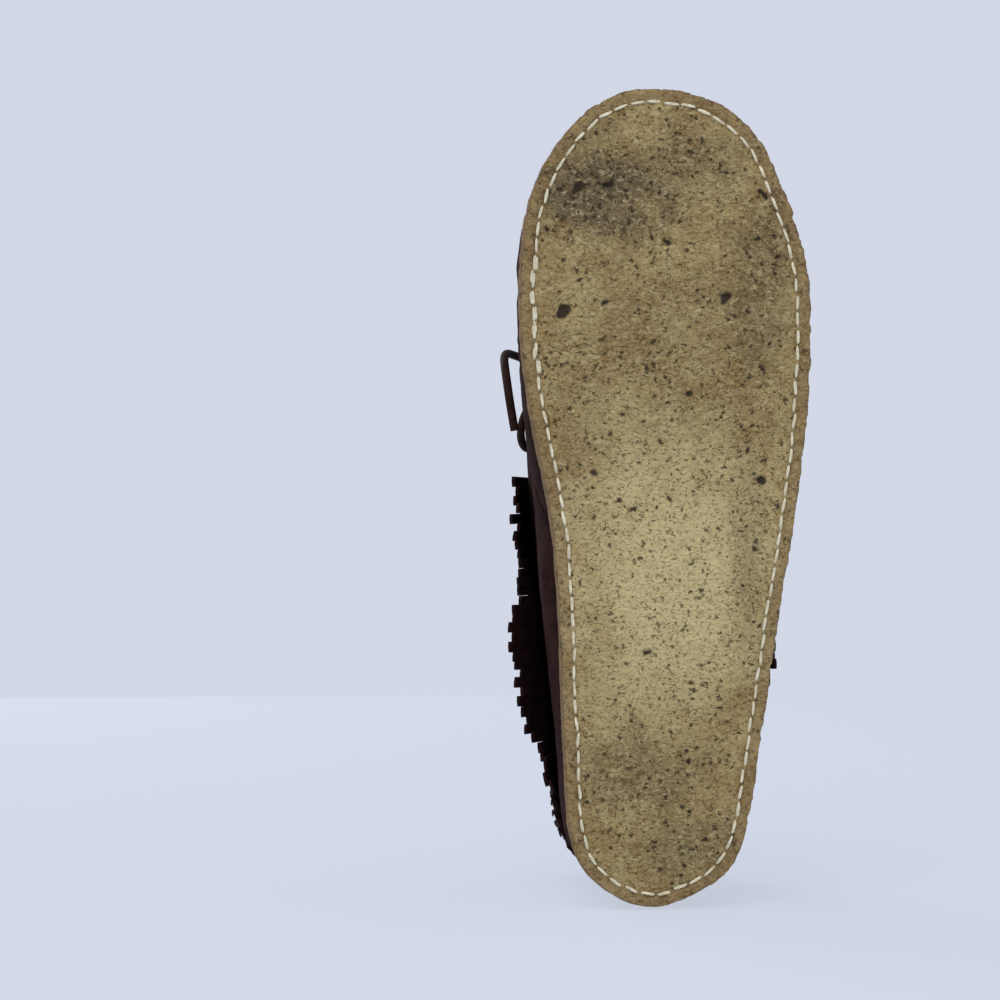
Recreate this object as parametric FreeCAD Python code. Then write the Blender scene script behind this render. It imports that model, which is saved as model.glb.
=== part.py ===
import FreeCAD, Part
import functools
import math
import os

Vector = FreeCAD.Vector

# A left-foot fringed moccasin standing on its crepe sole. Millimetres. The toe points to -Y, the
# medial (inner) side of the foot is -X, +Z is up, and the origin is under the middle of the sole.

# Overall sizes
shoe_length = 262.0
ball_width = 93.6

# The distances and widths below are drawn for this length and width, and grow with the shoe.
drawn_length = 262.0
drawn_width = 93.6
length_ratio = shoe_length / drawn_length
width_ratio = ball_width / drawn_width

# Sole
crepe_thickness = 7.0
midsole_thickness = 2.0
midsole_setback = 1.6
stitch_inset = 4.1
stitch_pitch = 5.5
stitch_length = 4.1
thread_width = 1.3
thread_height = 0.9
thread_end_share = 0.45
stitch_groove_depth = 1.2
stitch_groove_clearance = 0.15

# Upper
leather_thickness = 1.6
counter_thickness = 0.8
lining_thickness = 1.4
tongue_thickness = 1.5
tongue_gap = 5.0
lace_depth_in_gap = 3.1
trim_thickness = 1.1
fit_gap = 0.3
insole_board_thickness = 2.0
footbed_thickness = 3.5

# Distances behind the toe tip
apron_front = 24.0 * length_ratio
seam_foot_at_sole = 142.0 * length_ratio
seam_foot_at_throat = 80.0 * length_ratio
fringe_front = 124.0 * length_ratio
tongue_front = 75.0 * length_ratio

# Heights above the midsole
seam_throat_rise = 57.0
apron_underside_rise = 20.0
throat_underside_rise = 30.0
tongue_tip_rise = 104.0
tongue_hinge_rise = 43.0
fringe_foot_rise = 28.0
counter_rise = 46.0
heel_strip_rise = 58.0
upper_eyelet_rise = 79.0
lower_eyelet_rise = 65.0

# Widths and lengths of the small pieces
apron_width = 61.0 * width_ratio
throat_width = 20.0 * width_ratio
tongue_width = 40.0 * width_ratio
tongue_depth = 75.0 * length_ratio
collar_band_height = 8.0
lining_drop = 2.0
fringe_strip_width = 2.7
fringe_slit_width = 0.35
slit_reach = 30.0
fringe_uncut_height = 7.0
fringe_front_margin = 6.5
fringe_thickness = 1.2
fringe_length = 36.0
fringe_flare = 14.0
fringe_flare_fades_from = 84.0 * length_ratio
fringe_flare_fades_to = 22.0 * length_ratio
fringe_clearance = 1.8
fringe_stand = 1.5
heel_strip_width = 18.0
heel_lining_length = 92.0 * length_ratio
counter_length = 52.0 * length_ratio
lace_diameter = 2.8
eyelet_spacing = 33.0 * width_ratio
eyelet_wall = 0.5
eyelet_flange = 1.5
eyelet_flange_thickness = 0.5
eyelet_clearance = 0.4
eyelet_depth_share = 1.45
seam_thread_radius = 0.55
apron_stitch_length = 4.6
apron_stitch_pitch = 5.2
trim_thread_radius = 0.35
trim_stitch_length = 2.6
trim_stitch_pitch = 4.0
collar_row_share = 0.7
stitch_lift = 1.25
knot_length = 10.0 * width_ratio
knot_radius = 3.6
knot_lift = 2.5
knot_end_share = 0.4
knot_rim_share = 0.6

# Routes of the four free stretches of lace, as steps from the middle of the knot.
LOOP_MEDIAL = [
    (-3.0, 0.0, 1.5), (-10.0, -2.5, 4.0), (-18.0, -1.5, 4.0), (-26.5, 3.0, 1.5), (-33.5, 7.0, -4.0),
    (-38.5, 7.0, -11.5), (-40.5, 2.0, -18.0), (-39.5, -4.5, -21.5), (-35.0, -11.0, -21.0), (-28.0, -13.5, -17.0),
    (-20.5, -12.0, -11.5), (-13.0, -8.0, -6.0), (-6.5, -4.0, -2.0), (-2.5, -1.5, -0.5),
]
LOOP_LATERAL = [
    (3.5, 0.2, 1.5), (10.0, -2.0, 4.0), (18.0, -0.5, 4.5), (26.0, 4.0, 2.5), (33.0, 8.0, -2.5),
    (38.5, 7.5, -10.0), (41.0, 2.0, -16.0), (39.5, -5.0, -19.5), (34.5, -10.0, -19.0), (27.5, -11.5, -15.0),
    (20.0, -10.0, -9.5), (13.0, -6.5, -4.5), (6.5, -3.0, -1.0), (3.0, -1.0, 0.0),
]
END_MEDIAL = [
    (-2.0, -2.0, -1.0), (-8.0, -8.0, -4.5), (-15.0, -13.0, -10.5), (-23.0, -17.0, -16.5), (-31.0, -20.5, -22.5),
    (-38.5, -22.5, -29.0), (-44.0, -24.0, -36.5), (-47.8, -24.5, -44.5), (-49.4, -22.5, -52.5), (-49.6, -18.0, -59.5),
    (-49.1, -11.5, -63.5), (-48.2, -4.5, -65.0), (-47.0, 2.0, -64.5),
]
END_LATERAL = [
    (2.5, -2.0, -1.0), (8.0, -8.5, -5.5), (13.5, -15.5, -12.0), (19.0, -23.0, -18.5), (24.0, -31.0, -24.0),
    (27.5, -40.0, -29.0), (28.5, -49.5, -33.0), (26.5, -58.5, -36.5),
]

# The plan of the foot, as shares of half the width and half the length, from the toe tip down
# the medial side to the heel and back up the lateral side. The arch bulge is centred a little
# behind the middle and fades out over a share of half the length each way.
arch_centre = 0.2
arch_reach = 0.55
PLAN_SHAPE = [
    (-0.04, -1.0), (-0.515, -0.951), (-0.77, -0.853), (-0.92, -0.748), (-1.0, -0.595),
    (-1.0, -0.382), (-0.925, -0.176), (-0.81, 0.03), (-0.75, 0.244), (-0.725, 0.473),
    (-0.692, 0.733), (-0.588, 0.90), (-0.363, 0.973), (-0.118, 1.0), (0.17, 0.973),
    (0.427, 0.908), (0.58, 0.748), (0.677, 0.519), (0.807, 0.214), (0.897, 0.015),
    (0.968, -0.214), (0.99, -0.42), (0.94, -0.61), (0.80, -0.756), (0.583, -0.90), (0.30, -0.973),
]

# Levels of the foot form: height above the midsole, distance of its front end behind the toe
# tip and of its back end ahead of the heel tip, share of the ball width, and medial arch bulge.
FOOT_LEVELS = [
    (0.0, 4.5, 4.5, 0.925, 0.5),
    (7.0, 1.8, 2.2, 0.975, 2.6),
    (18.0, 3.2, 2.0, 0.975, 3.8),
    (28.0, 11.0, 3.0, 0.94, 3.4),
    (36.0, 25.0, 4.2, 0.895, 2.2),
    (44.0, 49.0, 5.0, 0.855, 1.0),
    (53.0, 74.0, 5.6, 0.815, 0.3),
    (64.0, 94.0, 6.0, 0.775, 0.0),
    (76.0, 107.0, 5.8, 0.74, 0.0),
    (89.0, 117.0, 5.0, 0.72, 0.0),
    (122.0, 132.0, 2.4, 0.70, 0.0),
]
FOOT_LEVELS = [(rise, front * length_ratio, *rest) for rise, front, *rest in FOOT_LEVELS]
form_wall_rise = 18.0
form_crown_rise = 36.0

# The top edge of the quarters, seen from the side: distance behind the toe tip and height above
# the midsole. It stands highest at the throat, dips under the ankle and rises over the heel.
COLLAR_LINE = [(70.0, 104.0), (112.0, 92.0), (150.0, 79.0), (196.0, 73.0), (236.0, 77.0), (282.0, 86.0)]
COLLAR_LINE = [(back * length_ratio, rise) for back, rise in COLLAR_LINE]

# Half of the apron's outline as shares of half its width, and distances behind its own front.
APRON_SHAPE = [(0.0, 0.0), (0.42, 2.6), (0.76, 11.0), (0.95, 26.0), (1.0, 42.0), (0.97, 57.0)]
APRON_SHAPE = [(share, back * length_ratio) for share, back in APRON_SHAPE]
apron_tail = 20.0 * length_ratio
apron_tail_share = 0.8
throat_lead = 20.0 * length_ratio
throat_length = 95.0 * length_ratio

toe_y = -shoe_length / 2
heel_y = shoe_length / 2
base_z = crepe_thickness + midsole_thickness
bottom_leather_z = base_z + leather_thickness
far = 400.0
heel_seam_x = -0.118 * ball_width / 2
band_thickness = fringe_stand + fringe_thickness + fit_gap


# ---------------------------------------------------------------- outlines

def plan_points(front, back, share, bulge):
    """The foot's plan between two ends, at a share of the ball width."""
    points = []
    for across, along in PLAN_SHAPE:
        x = across * share * ball_width / 2
        if across < 0 and abs(along - arch_centre) < arch_reach:
            x -= bulge * math.cos((along - arch_centre) / arch_reach * math.pi / 2) ** 2
        y = (front + back) / 2 + along * (back - front) / 2
        points.append(Vector(x, y, 0))
    return points


def inset_points(points, distance):
    """Each point moved inwards, square to the line through its two neighbours."""
    moved = []
    count = len(points)
    for i, point in enumerate(points):
        run = points[(i + 1) % count] - points[i - 1]
        inward = Vector(run.y, -run.x, 0)
        inward.normalize()
        moved.append(point + inward * distance)
    return moved


def closed_wire(points, height):
    """A smooth closed wire through the points, at one height."""
    curve = Part.BSplineCurve()
    curve.interpolate(Points=[Vector(p.x, p.y, height) for p in points], PeriodicFlag=True)
    return Part.Wire(curve.toShape())


def sole_wire(inset, height):
    """The sole's edge, or a line parallel to it."""
    return closed_wire(inset_points(plan_points(toe_y, heel_y, 1.0, 0.0), inset), height)


def slab(wire, thickness):
    """The flat plate that a closed wire bounds."""
    return Part.Face(wire).extrude(Vector(0, 0, thickness))


def level_wire(level, inset):
    """One level of the foot form; on the crown the inset also lowers it."""
    rise, from_toe, from_heel, share, bulge = level
    points = plan_points(toe_y + from_toe, heel_y - from_heel, share, bulge)
    crown = min(1.0, max(0.0, (rise - form_wall_rise) / (form_crown_rise - form_wall_rise)))
    return closed_wire(inset_points(points, inset), base_z + rise - inset * crown)


@functools.lru_cache(maxsize=None)
def foot_form(inset, floor_z=None):
    """The foot and ankle as one solid, smaller all round by the inset, cut off at the floor."""
    form = Part.makeLoft([level_wire(level, inset) for level in FOOT_LEVELS], True)
    if floor_z is not None:
        form = form.common(Part.makeBox(far, far, far, Vector(-far / 2, -far / 2, floor_z)))
    return form


def layer(outer_inset, inner_inset, zone):
    """The part of a zone that lies between two sizes of the foot form."""
    return foot_form(outer_inset).common(zone).cut(foot_form(inner_inset))


def side_prism(profile):
    """A solid right across the shoe from (y, z) corners seen from the side."""
    corners = [Vector(-far / 2, y, z) for y, z in profile]
    return Part.Face(Part.makePolygon(corners + corners[:1])).extrude(Vector(far, 0, 0))


def collar_curve(lowered):
    """The collar line beyond the medial side, or a line that far under it, and its two ends."""
    points = [Vector(-far / 2, toe_y + back, base_z + rise - lowered) for back, rise in COLLAR_LINE]
    curve = Part.BSplineCurve()
    curve.interpolate(points)
    return curve, points[0], points[-1]


@functools.lru_cache(maxsize=None)
def collar_waste(lowered):
    """Everything above the collar line, or above a line that far under it."""
    curve, first, last = collar_curve(lowered)
    top = base_z + far
    ends = [last, Vector(last.x, last.y, top), Vector(first.x, first.y, top), first]
    wire = Part.Wire([curve.toShape()] + Part.makePolygon(ends).Edges)
    return Part.Face(wire).extrude(Vector(far, 0, 0))


def collar_height(y):
    """Height of the collar line at one place along the shoe, by straight runs between its points."""
    line = [(toe_y + back, base_z + rise) for back, rise in COLLAR_LINE]
    for (y0, z0), (y1, z1) in zip(line, line[1:]):
        if y0 <= y <= y1:
            return z0 + (z1 - z0) * (y - y0) / (y1 - y0)
    return line[0][1] if y < line[0][0] else line[-1][1]


# ---------------------------------------------------------------- cutting tools

def seam_y(z):
    """Where the slanting vamp seam stands at a height."""
    low_z = base_z
    high_z = base_z + seam_throat_rise
    low_y = toe_y + seam_foot_at_sole
    high_y = toe_y + seam_foot_at_throat
    return low_y + (high_y - low_y) * (z - low_z) / (high_z - low_z)


def rear_block():
    """The space behind the vamp seam and above the wrapped bottom."""
    top = base_z + far / 2
    return side_prism([
        (seam_y(bottom_leather_z), bottom_leather_z),
        (far / 2, bottom_leather_z),
        (far / 2, top),
        (seam_y(top), top),
    ])


def apron_curve():
    """The apron's outline at the ground, round its front, and its medial and lateral ends."""
    front = toe_y + apron_front
    half = [Vector(share * apron_width / 2, front + back, 0) for share, back in APRON_SHAPE]
    other = [Vector(-p.x, p.y, 0) for p in half[1:]]
    curve = Part.BSplineCurve()
    curve.interpolate(list(reversed(other)) + half)
    return curve, other[-1], half[-1]


def apron_block():
    """The space over the apron's outline."""
    curve, left, right = apron_curve()
    back_y = toe_y + seam_foot_at_throat + apron_tail
    tail = right.x * apron_tail_share
    corners = [right, Vector(tail, back_y, 0), Vector(-tail, back_y, 0), left]
    wire = Part.Wire([curve.toShape()] + Part.makePolygon(corners).Edges)
    block = Part.Face(wire).extrude(Vector(0, 0, far))
    block.translate(Vector(0, 0, base_z + apron_underside_rise))
    return block


def throat_block():
    """The gap between the two quarters over the instep."""
    start = toe_y + seam_foot_at_throat - throat_lead
    corner = Vector(-throat_width / 2, start, base_z + throat_underside_rise)
    return Part.makeBox(throat_width, throat_length, far, corner)


# ---------------------------------------------------------------- places on the surface

def surface_point(form, start, direction):
    """Where a line first meets a form."""
    line = Part.makeLine(start, start + direction * far)
    points = [v.Point for v in form.common(line).Vertexes]
    return min(points, key=lambda p: (p - start).Length)


def surface_normal(form, place):
    """The outward direction of a form's side at a place on it."""
    face = min(form.Faces, key=lambda f: f.distToShape(Part.Vertex(place))[0])
    u, v = face.Surface.parameter(place)
    normal = face.normalAt(u, v)
    outward = place - Vector(place.x * 0.5, heel_y * 0.35, base_z)
    return normal if normal.dot(outward) > 0 else normal * -1


def bar(centre, along, length, radius):
    """One short straight stitch: a round bar, centred on a place."""
    start = centre - along * (length / 2)
    return Part.makeCylinder(radius, length, start, along)


# ---------------------------------------------------------------- sole

def crepe_outsole():
    plate = slab(sole_wire(0.0, 0.0), crepe_thickness)
    half_groove = thread_width / 2 + stitch_groove_clearance
    outer = slab(sole_wire(stitch_inset - half_groove, 0.0), stitch_groove_depth)
    inner = slab(sole_wire(stitch_inset + half_groove, 0.0), stitch_groove_depth)
    return plate.cut(outer.cut(inner))


def outsole_stitches():
    line = sole_wire(stitch_inset, 0.0).Edges[0]
    count = round(line.Length / stitch_pitch)
    first, last = line.ParameterRange
    stitches = []
    for i in range(count):
        place = line.getParameterByLength((i + 0.5) * line.Length / count)
        middle = line.valueAt(place)
        turn = math.degrees(math.atan2(line.tangentAt(place).y, line.tangentAt(place).x))
        corner = Vector(-stitch_length / 2, -thread_width / 2, 0)
        stitch = Part.makeBox(stitch_length, thread_width, thread_height, corner)
        upright = [e for e in stitch.Edges if abs(e.tangentAt(e.FirstParameter).z) > 0.9]
        stitch = stitch.makeFillet(thread_width * thread_end_share, upright)
        stitch.rotate(Vector(0, 0, 0), Vector(0, 0, 1), turn)
        stitch.translate(Vector(middle.x, middle.y, stitch_groove_depth - thread_height))
        stitches.append(stitch)
    return Part.makeCompound(stitches)


def midsole():
    return slab(sole_wire(midsole_setback, crepe_thickness), midsole_thickness)


# ---------------------------------------------------------------- upper

def upper_shell():
    return foot_form(0.0).cut(foot_form(leather_thickness, bottom_leather_z))


def wrap_vamp(shell):
    return shell.cut(rear_block()).cut(apron_block())


def apron(shell):
    return shell.cut(rear_block()).common(apron_block())


def quarter(shell, side):
    """One rear side of the upper; side is -1 medial, 1 lateral."""
    corner_x = heel_seam_x if side > 0 else heel_seam_x - far
    half = Part.makeBox(far, far, far, Vector(corner_x, -far / 2, 0))
    piece = shell.common(rear_block()).cut(throat_block()).cut(collar_waste(0.0)).common(half)
    for place, outward in eyelet_places():
        if place.x * side > 0:
            hole = eyelet_wall + eyelet_clearance + lace_diameter / 2
            start = place - outward * (leather_thickness * 3)
            piece = piece.cut(Part.makeCylinder(hole, leather_thickness * 6, start, outward))
    return piece


def heel_counter():
    start = heel_y - counter_length
    zone = Part.makeBox(far, far, counter_rise - leather_thickness, Vector(-far / 2, start, bottom_leather_z))
    return layer(leather_thickness, leather_thickness + counter_thickness, zone)


def heel_lining(counter):
    zone = Part.makeBox(far, far, far, Vector(-far / 2, heel_y - heel_lining_length, bottom_leather_z))
    zone = zone.cut(collar_waste(lining_drop))
    return layer(leather_thickness, leather_thickness + lining_thickness, zone).cut(counter)


def heel_strip():
    corner = Vector(heel_seam_x - heel_strip_width / 2, 0, base_z)
    zone = Part.makeBox(heel_strip_width, far, heel_strip_rise, corner)
    return layer(-trim_thickness, 0.0, zone)


def insole_board():
    return inner_plate(bottom_leather_z, insole_board_thickness)


def footbed():
    return inner_plate(bottom_leather_z + insole_board_thickness, footbed_thickness)


def inner_plate(low_z, thickness):
    """A plate that fills the inside of the upper from wall to wall, with a gap all round."""
    form = foot_form(leather_thickness + lining_thickness + fit_gap)
    return form.common(Part.makeBox(far, far, thickness, Vector(-far / 2, -far / 2, low_z)))


def tongue():
    outer = leather_thickness + tongue_gap
    low = Vector(-tongue_width / 2, toe_y + tongue_front, base_z + tongue_hinge_rise)
    zone = Part.makeBox(tongue_width, tongue_depth, tongue_tip_rise - tongue_hinge_rise, low)
    return layer(outer, outer + tongue_thickness, zone)


# ---------------------------------------------------------------- collar and fringe

def collar_band():
    behind = Part.makeBox(far, far, far, Vector(-far / 2, toe_y + seam_foot_at_throat, 0))
    zone = behind.cut(throat_block()).cut(collar_waste(0.0)).common(collar_waste(collar_band_height))
    return layer(-band_thickness, 0.0, zone)


def level_points(rise):
    """The foot form's plan at any height, straight between its levels."""
    for low, high in zip(FOOT_LEVELS, FOOT_LEVELS[1:]):
        if low[0] <= rise <= high[0]:
            part = (rise - low[0]) / (high[0] - low[0])
            mixed = [a + (b - a) * part for a, b in zip(low, high)]
            return plan_points(toe_y + mixed[1], heel_y - mixed[2], mixed[3], mixed[4])
    raise ValueError("the foot form has no such height")


def fringe_foot_points():
    """The plan of the fringe's flared foot: well clear of the waist, close in at the heel."""
    points = level_points(fringe_foot_rise)
    wide = inset_points(points, -1.0)
    flared = []
    for point, outer in zip(points, wide):
        ahead_of_heel = heel_y - point.y
        fade = (ahead_of_heel - fringe_flare_fades_to) / (fringe_flare_fades_from - fringe_flare_fades_to)
        fade = math.sin(min(1.0, max(0.0, fade)) * math.pi / 2) ** 2
        flared.append(point + (outer - point) * (fringe_clearance + fringe_thickness + fringe_flare * fade))
    return flared


def fringe_skirt(inset):
    """The flared form that the fringe hangs on, from below its tips up past the collar."""
    wires = [closed_wire(inset_points(fringe_foot_points(), inset), base_z + fringe_foot_rise)]
    for rise, from_toe, from_heel, share, bulge in FOOT_LEVELS[-3:]:
        points = plan_points(toe_y + from_toe, heel_y - from_heel, share, bulge)
        outer = inset - fringe_stand - fringe_thickness
        wires.append(closed_wire(inset_points(points, outer), base_z + rise))
    return Part.makeLoft(wires, True)


def fringe_slits():
    """Thin upright cuts, one strip width apart, across the hanging part of the fringe."""
    line = closed_wire(fringe_foot_points(), 0.0).Edges[0]
    count = round(line.Length / fringe_strip_width)
    slits = []
    for i in range(count):
        place = line.getParameterByLength(i * line.Length / count)
        middle = line.valueAt(place)
        if middle.y < toe_y + fringe_front + fringe_front_margin:
            continue
        tangent = line.tangentAt(place)
        height = collar_height(middle.y) - collar_band_height - fringe_uncut_height
        corner = Vector(-fringe_slit_width / 2, -slit_reach, 0)
        slit = Part.makeBox(fringe_slit_width, 2 * slit_reach, height, corner)
        slit.rotate(Vector(0, 0, 0), Vector(0, 0, 1), math.degrees(math.atan2(tangent.y, tangent.x)))
        slit.translate(Vector(middle.x, middle.y, 0))
        slits.append(slit)
    return slits


def fringe():
    """The whole fringe before it is parted at the heel."""
    behind = Part.makeBox(far, far, far, Vector(-far / 2, toe_y + fringe_front, 0))
    behind = behind.cut(collar_waste(collar_band_height))
    behind = behind.common(collar_waste(collar_band_height + fringe_length))
    outer = fringe_skirt(0.0).common(behind)
    return outer.cut(fringe_skirt(fringe_thickness))


def fringe_half(whole, side):
    """One side of the fringe; both sides stop short of the heel strip."""
    gap = heel_strip_width / 2 + fit_gap
    corner_x = heel_seam_x + gap if side > 0 else heel_seam_x - gap - far
    half = whole.common(Part.makeBox(far, far, far, Vector(corner_x, -far / 2, 0)))
    slits = [s for s in fringe_slits() if (s.CenterOfMass.x - heel_seam_x) * side > fringe_slit_width]
    return half.cut(Part.makeCompound(slits))


# ---------------------------------------------------------------- eyelets and lace

@functools.lru_cache(maxsize=None)
def eyelet_places():
    """Where the four lace holes stand on the quarters, with their outward directions."""
    form = foot_form(0.0)
    places = []
    for rise in (lower_eyelet_rise, upper_eyelet_rise):
        for side in (-1, 1):
            start = Vector(side * eyelet_spacing / 2, toe_y, base_z + rise)
            place = surface_point(form, start, Vector(0, 1, 0))
            places.append((place, surface_normal(form, place)))
    return places


def eyelets():
    rings = []
    bore = lace_diameter / 2 + eyelet_clearance
    barrel = bore + eyelet_wall
    depth = leather_thickness * eyelet_depth_share
    for place, outward in eyelet_places():
        start = place - outward * depth
        ring = Part.makeCylinder(barrel, depth + eyelet_flange_thickness, start, outward)
        ring = ring.fuse(Part.makeCylinder(barrel + eyelet_flange, eyelet_flange_thickness, place, outward))
        ring = ring.cut(Part.makeCylinder(bore, depth * 3, place - outward * depth * 1.5, outward))
        rings.append(ring)
    return Part.makeCompound(rings)


def stitch_row(form, sheet, pitch, length, radius, keep, across=False):
    """Straight stitches where a sheet meets a form, along that line or square across it."""
    edges = Part.sortEdges(form.section(sheet).Edges)[0]
    line = Part.Wire(edges)
    places = line.discretize(Number=max(3, round(line.Length / pitch)))
    stitches = []
    for before, place, after in zip(places, places[1:], places[2:]):
        if not keep(place):
            continue
        outward = surface_normal(form, place)
        run = after - before
        run.normalize()
        along = run.cross(outward) if across else run
        along.normalize()
        stitches.append(bar(place + outward * radius * stitch_lift, along, length, radius))
    return Part.makeCompound(stitches)


def apron_stitches():
    sheet = apron_curve()[0].toShape().extrude(Vector(0, 0, far))
    sheet.translate(Vector(0, 0, base_z + apron_underside_rise))
    return stitch_row(foot_form(0.0), sheet, apron_stitch_pitch, apron_stitch_length,
                      seam_thread_radius, lambda p: p.y < seam_y(p.z), across=True)


def collar_stitches():
    line = collar_curve(collar_band_height * collar_row_share)[0]
    sheet = line.toShape().extrude(Vector(far, 0, 0))
    return stitch_row(foot_form(-band_thickness), sheet,
                      trim_stitch_pitch, trim_stitch_length, trim_thread_radius,
                      lambda p: abs(p.x) > throat_width / 2 + trim_stitch_length or p.y > 0)


# ---------------------------------------------------------------- lace

arc_share = 0.45

def rounded_path(points):
    """Straight runs between the points, joined by tangent arcs as large as the runs allow."""
    edges = []
    radii = []
    start = points[0]
    for before, corner, after in zip(points, points[1:], points[2:]):
        back = before - corner
        ahead = after - corner
        reach = arc_share * min(back.Length, ahead.Length)
        turn = math.pi - back.getAngle(ahead)
        radii.append(reach / math.tan(turn / 2))
        back.normalize()
        ahead.normalize()
        enter = corner + back * reach
        leave = corner + ahead * reach
        middle = back + ahead
        middle.normalize()
        bend = corner + middle * (radii[-1] / math.cos(turn / 2) - radii[-1])
        edges.append(Part.LineSegment(start, enter).toShape())
        edges.append(Part.Arc(enter, bend, leave).toShape())
        start = leave
    edges.append(Part.LineSegment(start, points[-1]).toShape())
    return Part.Wire(edges), radii


def cord(name, points):
    """A round cord along a rounded path; its length, volume and radii are printed."""
    path, radii = rounded_path(points)
    ring = Part.Wire(Part.makeCircle(lace_diameter / 2, points[0], points[1] - points[0]))
    tube = path.makePipeShell([ring], True, True)
    section = math.pi * lace_diameter ** 2 / 4
    print("%s length %.1f, volume / (section x length) %.4f, smallest radius %.1f" % (
        name, path.Length, tube.Volume / (section * path.Length), min(radii)))
    return tube


def over_surface(x, rise, lift):
    """A place that far outside the front of the upper."""
    form = foot_form(0.0)
    place = surface_point(form, Vector(x, toe_y, base_z + rise), Vector(0, 1, 0))
    return place + surface_normal(form, place) * lift


def knot_centre():
    return over_surface(0.0, upper_eyelet_rise, knot_lift)


def free_lace(name, route):
    """One free stretch of lace, which starts in the knot."""
    middle = knot_centre()
    return cord(name, [middle + Vector(x * width_ratio, y, z) for x, y, z in route])


def lace():
    """The stretch that the shoe holds: knot, upper hole, up the inside, lower hole, and across."""
    depth = leather_thickness + lace_depth_in_gap
    lift = lace_diameter / 2 + eyelet_flange_thickness + fit_gap
    places = eyelet_places()
    edge_x = throat_width / 2
    sides = []
    for side in (0, 1):
        sign = -1 if side == 0 else 1
        low, low_out = places[side]
        high, high_out = places[side + 2]
        sides.append([
            knot_centre() + Vector(sign * knot_length * knot_end_share, 0, 0),
            over_surface(sign * edge_x, upper_eyelet_rise, lift),
            high + high_out * lift,
            high - high_out * depth,
            low - low_out * depth,
            low + low_out * lift,
            over_surface(sign * edge_x, lower_eyelet_rise, lift),
        ])
    return cord("lace", sides[0] + list(reversed(sides[1])))


def lace_knot():
    """The bow's knot: a short fat barrel lying across the throat."""
    centre = knot_centre()
    barrel = Part.makeCylinder(knot_radius, knot_length, centre - Vector(knot_length / 2, 0, 0), Vector(1, 0, 0))
    rims = [e for e in barrel.Edges if isinstance(e.Curve, Part.Circle)]
    return barrel.makeFillet(knot_radius * knot_rim_share, rims)


def main():
    os.makedirs("parts", exist_ok=True)
    shell = upper_shell()
    counter = heel_counter()
    whole_fringe = fringe()
    pieces = {
        "crepe_outsole": crepe_outsole(),
        "outsole_stitches": outsole_stitches(),
        "midsole": midsole(),
        "wrap_vamp": wrap_vamp(shell),
        "apron": apron(shell),
        "quarter_medial": quarter(shell, -1),
        "quarter_lateral": quarter(shell, 1),
        "heel_counter": counter,
        "heel_lining": heel_lining(counter),
        "heel_strip": heel_strip(),
        "insole_board": insole_board(),
        "footbed": footbed(),
        "tongue": tongue(),
        "collar_band": collar_band(),
        "fringe_medial": fringe_half(whole_fringe, -1),
        "fringe_lateral": fringe_half(whole_fringe, 1),
        "eyelets": eyelets(),
        "apron_stitches": apron_stitches(),
        "collar_stitches": collar_stitches(),
        "lace": lace(),
        "lace_knot": lace_knot(),
        "lace_loop_medial": free_lace("lace_loop_medial", LOOP_MEDIAL),
        "lace_loop_lateral": free_lace("lace_loop_lateral", LOOP_LATERAL),
        "lace_end_medial": free_lace("lace_end_medial", END_MEDIAL),
        "lace_end_lateral": free_lace("lace_end_lateral", END_LATERAL),
    }
    for name, shape in pieces.items():
        shape.exportStep("parts/" + name + ".step")
        print("%-18s solids %3d  volume %9.1f  valid %s" % (
            name, len(shape.Solids), shape.Volume, shape.isValid()))


main()
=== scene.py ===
# %% [markdown]
# # A fringed suede moccasin
# This lesson dresses the CAD frame of one left moccasin in crepe, suede, thread and lace.
# The toe points to -Y, the big toe side is -X, and the ground is z = 0. Everything is in metres.

import math
import random

import bmesh
import bpy
from mathutils import Matrix, Vector, noise
from mathutils.bvhtree import BVHTree
from mathutils.kdtree import KDTree


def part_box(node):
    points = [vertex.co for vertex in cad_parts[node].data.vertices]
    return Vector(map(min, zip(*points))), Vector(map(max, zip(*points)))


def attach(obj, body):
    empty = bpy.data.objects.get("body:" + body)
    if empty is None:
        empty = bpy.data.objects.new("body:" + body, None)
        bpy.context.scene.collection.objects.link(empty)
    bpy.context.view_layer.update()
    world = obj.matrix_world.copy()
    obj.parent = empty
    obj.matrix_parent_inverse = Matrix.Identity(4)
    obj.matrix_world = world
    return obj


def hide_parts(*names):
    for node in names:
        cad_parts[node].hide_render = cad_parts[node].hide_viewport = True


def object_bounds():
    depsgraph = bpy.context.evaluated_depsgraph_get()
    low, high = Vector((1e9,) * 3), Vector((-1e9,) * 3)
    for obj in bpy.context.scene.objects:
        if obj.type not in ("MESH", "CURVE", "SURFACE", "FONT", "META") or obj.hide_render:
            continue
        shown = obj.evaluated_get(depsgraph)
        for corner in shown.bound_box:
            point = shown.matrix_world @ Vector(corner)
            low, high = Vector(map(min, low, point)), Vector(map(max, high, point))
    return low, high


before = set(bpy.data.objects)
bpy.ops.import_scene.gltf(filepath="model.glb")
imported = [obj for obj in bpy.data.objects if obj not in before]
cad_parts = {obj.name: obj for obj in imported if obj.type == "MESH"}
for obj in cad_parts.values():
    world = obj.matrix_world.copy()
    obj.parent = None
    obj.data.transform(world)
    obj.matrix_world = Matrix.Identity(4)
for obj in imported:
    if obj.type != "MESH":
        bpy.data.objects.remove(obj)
cad_low, cad_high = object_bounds()
MM = 0.001
DOWN = Vector((0.0, 0.0, -1.0))
UP = Vector((0.0, 0.0, 1.0))
scene = bpy.context.scene
scene.view_settings.view_transform = "Standard"
random.seed(11)
print("frame:", len(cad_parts), "nodes,", [round(x, 3) for x in cad_high - cad_low])

# %% [markdown]
# ## Small tools
# A CAD mesh arrives as loose triangles, so a copy is merged before anything is made from it.
# A voxel remesh then gives an even skin that takes lumps, creases and worn edges well.


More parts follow.
